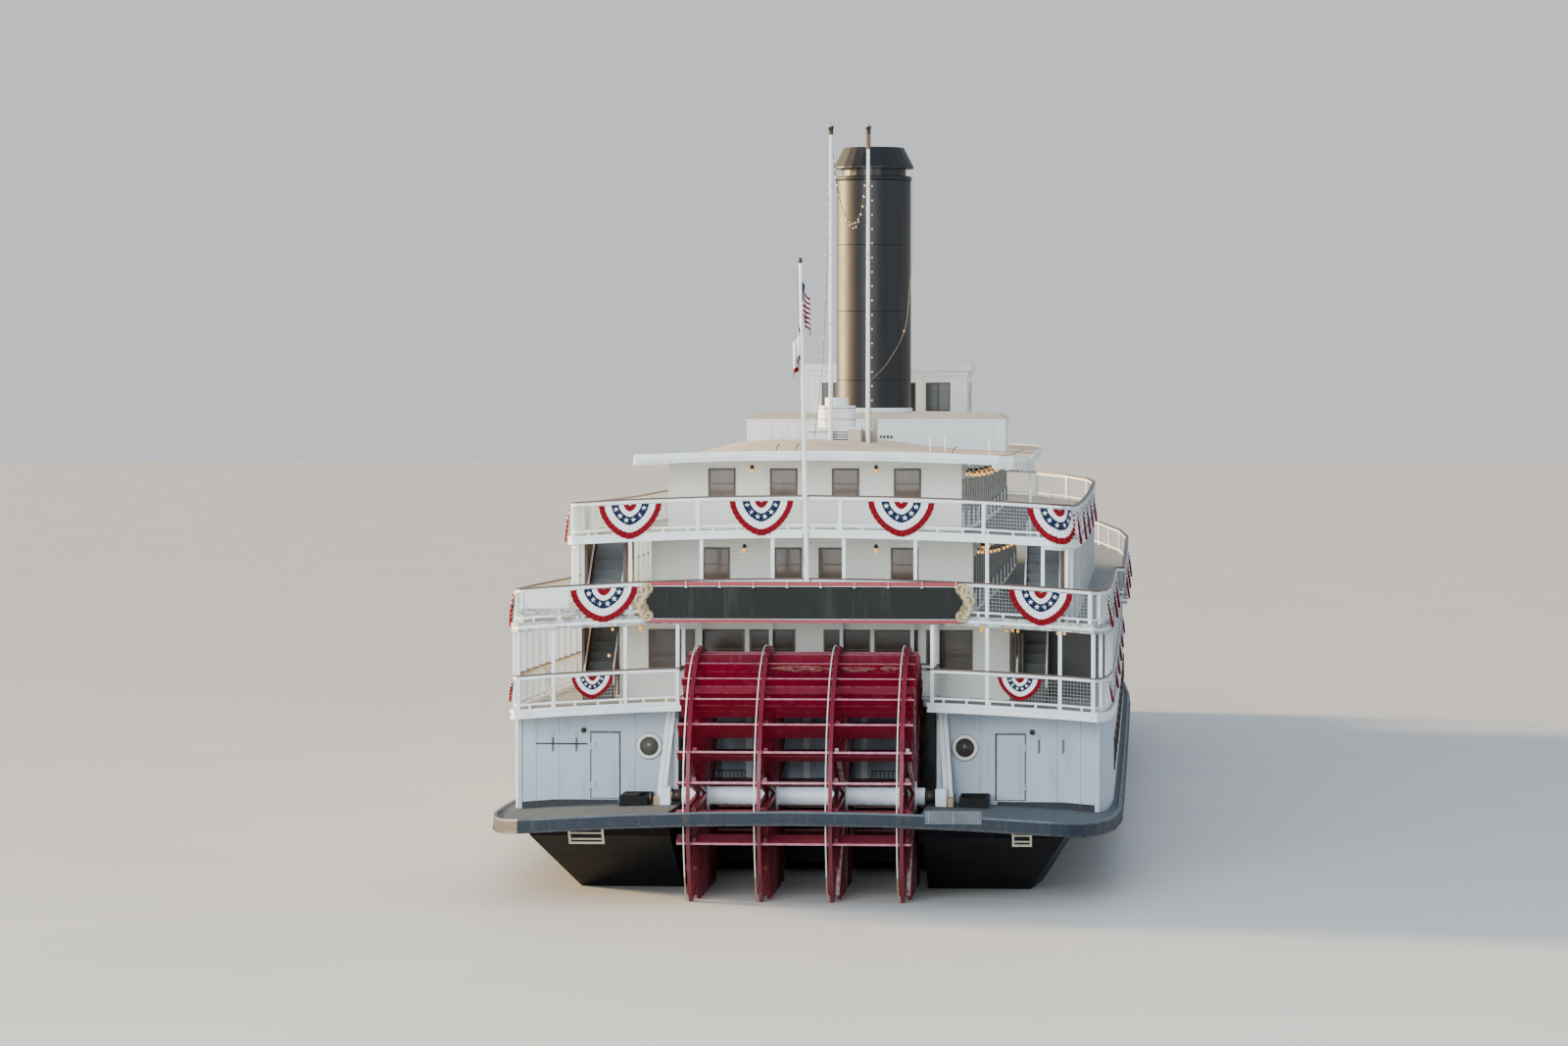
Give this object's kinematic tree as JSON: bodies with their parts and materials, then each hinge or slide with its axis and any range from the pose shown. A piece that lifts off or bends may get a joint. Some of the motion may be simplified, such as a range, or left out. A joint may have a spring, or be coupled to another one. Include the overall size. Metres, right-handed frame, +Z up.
{
  "type": "stern-wheel paddle steamer, 1:10 scale model",
  "caption": "Four-deck stern-wheel river steamer at 1:10, with a black hull, galleried decks, pilothouse, stack and a turning red paddle wheel.",
  "frame": {"origin": "centre of the bounding box's underside, on the flat hull bottom", "axes": "+X starboard, +Y forward to the bow, +Z up; the waterline is at z = 0.19 m"},
  "size_m": [1.768, 8.7, 2.4396],
  "materials": {
    "hull_paint": "semi-gloss black, weathered",
    "guard_paint": "matt slate grey",
    "main_wall_paint": "satin, cool white, weathered",
    "wall_paint": "painted cream white, satin",
    "deck_paint": "painted deck canvas, matt",
    "rail_paint": "satin white",
    "roof_canvas": "painted roof canvas, matt",
    "stack_paint": "semi-gloss black",
    "wheel_paint": "dark red paint, worn at the edges",
    "trim_brown": "painted dark brown",
    "sign_paint": "painted dark green, blank",
    "iron": "painted, rusty"
  },
  "bodies": {
    "ship": {"bow_jackstaff": "rail_paint", "hull": "hull_paint", "lower_stair_port": "trim_brown", "lower_stair_starboard": "trim_brown", "main_deck": "guard_paint", "main_house_walls": "main_wall_paint", "mast_port": "rail_paint", "mast_starboard": "rail_paint", "observation_deck": "deck_paint", "observation_house_walls": "wall_paint", "observation_posts_port": "rail_paint", "observation_posts_starboard": "rail_paint", "observation_rail_aft": "rail_paint", "observation_rail_fore": "rail_paint", "observation_rail_port": "rail_paint", "observation_rail_starboard": "rail_paint", "pilothouse_roof": "roof_canvas", "pilothouse_walls": "wall_paint", "roof_box": "wall_paint", "roof_fan": "wall_paint", "saloon_deck": "deck_paint", "saloon_house_walls": "wall_paint", "saloon_rail_aft_middle": "rail_paint", "saloon_rail_aft_port": "rail_paint", "saloon_rail_aft_starboard": "rail_paint", "saloon_rail_fore": "rail_paint", "saloon_rail_port": "rail_paint", "saloon_rail_starboard": "rail_paint", "sign_board": "sign_paint", "stack": "stack_paint", "stack_cap": "stack_paint", "stern_flagpole": "rail_paint", "texas_deck": "deck_paint", "texas_house_walls": "wall_paint", "texas_rail_aft": "rail_paint", "texas_rail_fore": "rail_paint", "texas_rail_port": "rail_paint", "texas_rail_starboard": "rail_paint", "texas_roof": "roof_canvas", "upper_stair_port": "trim_brown", "upper_stair_starboard": "trim_brown", "wheel_bearing_port": "iron", "wheel_bearing_starboard": "iron"},
    "paddle_wheel": {"paddle_wheel": "wheel_paint"},
    "aft_door_port": {"aft_door_port": "main_wall_paint"},
    "aft_door_starboard": {"aft_door_starboard": "main_wall_paint"},
    "pilothouse_door_port": {"pilothouse_door_port": "wall_paint"},
    "pilothouse_door_starboard": {"pilothouse_door_starboard": "wall_paint"},
    "rudder_port": {"rudder_port": "hull_paint"},
    "rudder_centre": {"rudder_centre": "hull_paint"},
    "rudder_starboard": {"rudder_starboard": "hull_paint"}
  },
  "joints": [
    {"name": "wheel_spin", "type": "hinge", "parent": "ship", "child": "paddle_wheel", "pos_m": [0, -3.865, 0.454], "axis": [1, 0, 0], "continuous": true},
    {"name": "aft_door_port_swing", "type": "hinge", "parent": "ship", "child": "aft_door_port", "pos_m": [-0.6145, -3.7133, 0.525], "axis": [0, 0, -1], "range_deg": [0, 100]},
    {"name": "aft_door_starboard_swing", "type": "hinge", "parent": "ship", "child": "aft_door_starboard", "pos_m": [0.6145, -3.7133, 0.525], "axis": [0, 0, 1], "range_deg": [0, 100]},
    {"name": "pilothouse_door_port_swing", "type": "hinge", "parent": "ship", "child": "pilothouse_door_port", "pos_m": [-0.3003, 0.7015, 1.5], "axis": [0, 0, -1], "range_deg": [0, 90]},
    {"name": "pilothouse_door_starboard_swing", "type": "hinge", "parent": "ship", "child": "pilothouse_door_starboard", "pos_m": [0.3003, 0.7015, 1.5], "axis": [0, 0, 1], "range_deg": [0, 90]},
    {"name": "rudder_centre_turn", "type": "hinge", "parent": "ship", "child": "rudder_centre", "pos_m": [0, -3.15, 0.1], "axis": [0, 0, 1], "range_deg": [-35, 35]},
    {"name": "rudder_port_turn", "type": "hinge", "parent": "ship", "child": "rudder_port", "pos_m": [-0.2, -3.15, 0.1], "axis": [0, 0, 1], "range_deg": [-35, 35]},
    {"name": "rudder_starboard_turn", "type": "hinge", "parent": "ship", "child": "rudder_starboard", "pos_m": [0.2, -3.15, 0.1], "axis": [0, 0, 1], "range_deg": [-35, 35]}
  ],
  "couplings": [
    {"joint": "rudder_port_turn", "follows": "rudder_centre_turn", "ratio": 1},
    {"joint": "rudder_starboard_turn", "follows": "rudder_centre_turn", "ratio": 1}
  ]
}
